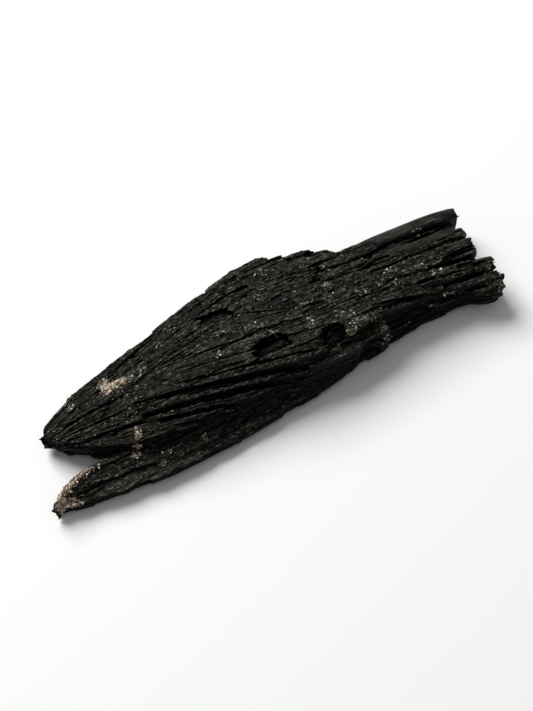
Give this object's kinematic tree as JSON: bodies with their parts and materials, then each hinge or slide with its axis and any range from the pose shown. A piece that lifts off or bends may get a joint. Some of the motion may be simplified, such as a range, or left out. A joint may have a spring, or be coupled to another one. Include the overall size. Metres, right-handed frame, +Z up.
{
  "type": "black kyanite fan",
  "caption": "Natural cluster of flat dark blade crystals grown together, spreading from a narrow root into a stepped fan, with a low prong beside the root; lies on its flat back.",
  "frame": {"origin": "centre of the fan's bounding box, at the resting plane under it", "axes": "+X along the blades from the root to the broken free end, +Y across the fan away from the prong, +Z up from the resting plane"},
  "size_m": [0.0988, 0.032, 0.0118],
  "materials": {
    "black_kyanite": "satin, finely striated along the blades, with pale mica dust",
    "mica_crust": "matt, sugary grains with a few bright mica flakes"
  },
  "bodies": {
    "root": {"kyanite_fan": "black_kyanite"}
  },
  "joints": []
}
